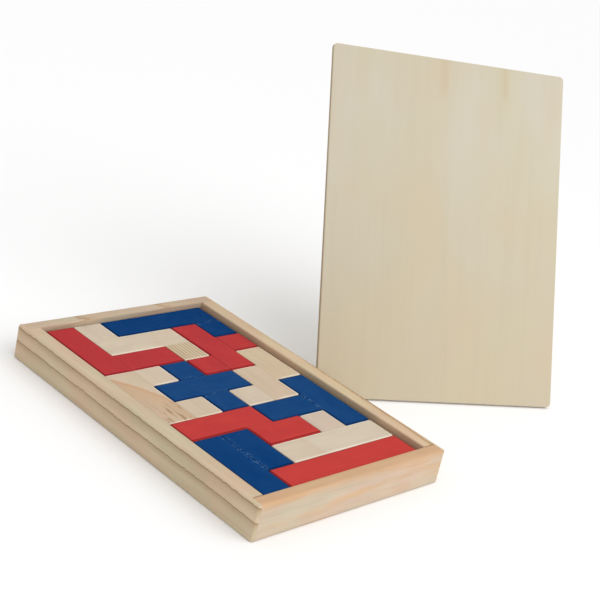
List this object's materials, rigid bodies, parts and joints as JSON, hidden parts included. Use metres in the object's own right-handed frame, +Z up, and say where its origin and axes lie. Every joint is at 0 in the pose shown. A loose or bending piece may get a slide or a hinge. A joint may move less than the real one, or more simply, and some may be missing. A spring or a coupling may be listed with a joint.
{
  "type": "pentomino packing puzzle",
  "caption": "Shallow wooden tray packed full with red, blue and bare wood five-square pieces that lift out, with a thin cover board standing beside it.",
  "frame": {"origin": "centre of the tray's underside, on the surface that it lies on", "axes": "+X across the tray from the left long rail to the right one, +Y along it from the near short rail to the far one, +Z up"},
  "size_m": [0.3466, 0.218, 0.2015],
  "materials": {
    "pine": "bare sanded pine",
    "plywood": "bare sanded plywood",
    "bare_wood": "bare sanded hardwood",
    "red_paint": "satin red paint on wood",
    "blue_paint": "satin blue paint on wood"
  },
  "bodies": {
    "tray": {"left_rail": "pine", "right_rail": "pine", "near_rail": "pine", "far_rail": "pine", "base_board": "plywood"},
    "piece_v": {"piece_v_long_bar": "red_paint", "piece_v_short_bar": "red_paint"},
    "piece_z": {"piece_z_bar": "bare_wood", "piece_z_far_block": "bare_wood", "piece_z_near_block": "bare_wood"},
    "piece_l": {"piece_l_bar": "blue_paint", "piece_l_block": "blue_paint"},
    "piece_f": {"piece_f_bar": "red_paint", "piece_f_right_block": "red_paint", "piece_f_left_block": "red_paint"},
    "piece_u": {"piece_u_bar": "bare_wood", "piece_u_far_block": "bare_wood", "piece_u_near_block": "bare_wood"},
    "piece_x": {"piece_x_bar": "blue_paint", "piece_x_far_block": "blue_paint", "piece_x_near_block": "blue_paint"},
    "piece_w": {"piece_w_far_bar": "bare_wood", "piece_w_near_bar": "bare_wood", "piece_w_block": "bare_wood"},
    "piece_t": {"piece_t_bar": "blue_paint", "piece_t_stem": "blue_paint"},
    "piece_n": {"piece_n_long_bar": "red_paint", "piece_n_short_bar": "red_paint"},
    "piece_p": {"piece_p_long_bar": "blue_paint", "piece_p_short_bar": "blue_paint"},
    "piece_y": {"piece_y_bar": "bare_wood", "piece_y_block": "bare_wood"},
    "piece_i": {"piece_i_bar": "red_paint"},
    "lid": {"lid_board": "plywood"}
  },
  "joints": [
    {"name": "lift_piece_v", "type": "slide", "parent": "tray", "child": "piece_v", "axis": [0, 0, 1], "range_m": [0, 0.03]},
    {"name": "lift_piece_z", "type": "slide", "parent": "tray", "child": "piece_z", "axis": [0, 0, 1], "range_m": [0, 0.03]},
    {"name": "lift_piece_l", "type": "slide", "parent": "tray", "child": "piece_l", "axis": [0, 0, 1], "range_m": [0, 0.03]},
    {"name": "lift_piece_f", "type": "slide", "parent": "tray", "child": "piece_f", "axis": [0, 0, 1], "range_m": [0, 0.03]},
    {"name": "lift_piece_u", "type": "slide", "parent": "tray", "child": "piece_u", "axis": [0, 0, 1], "range_m": [0, 0.03]},
    {"name": "lift_piece_x", "type": "slide", "parent": "tray", "child": "piece_x", "axis": [0, 0, 1], "range_m": [0, 0.03]},
    {"name": "lift_piece_w", "type": "slide", "parent": "tray", "child": "piece_w", "axis": [0, 0, 1], "range_m": [0, 0.03]},
    {"name": "lift_piece_t", "type": "slide", "parent": "tray", "child": "piece_t", "axis": [0, 0, 1], "range_m": [0, 0.03]},
    {"name": "lift_piece_n", "type": "slide", "parent": "tray", "child": "piece_n", "axis": [0, 0, 1], "range_m": [0, 0.03]},
    {"name": "lift_piece_p", "type": "slide", "parent": "tray", "child": "piece_p", "axis": [0, 0, 1], "range_m": [0, 0.03]},
    {"name": "lift_piece_y", "type": "slide", "parent": "tray", "child": "piece_y", "axis": [0, 0, 1], "range_m": [0, 0.03]},
    {"name": "lift_piece_i", "type": "slide", "parent": "tray", "child": "piece_i", "axis": [0, 0, 1], "range_m": [0, 0.03]},
    {"name": "lift_lid", "type": "slide", "parent": "tray", "child": "lid", "axis": [0, 0, 1], "range_m": [0, 0.06]}
  ]
}
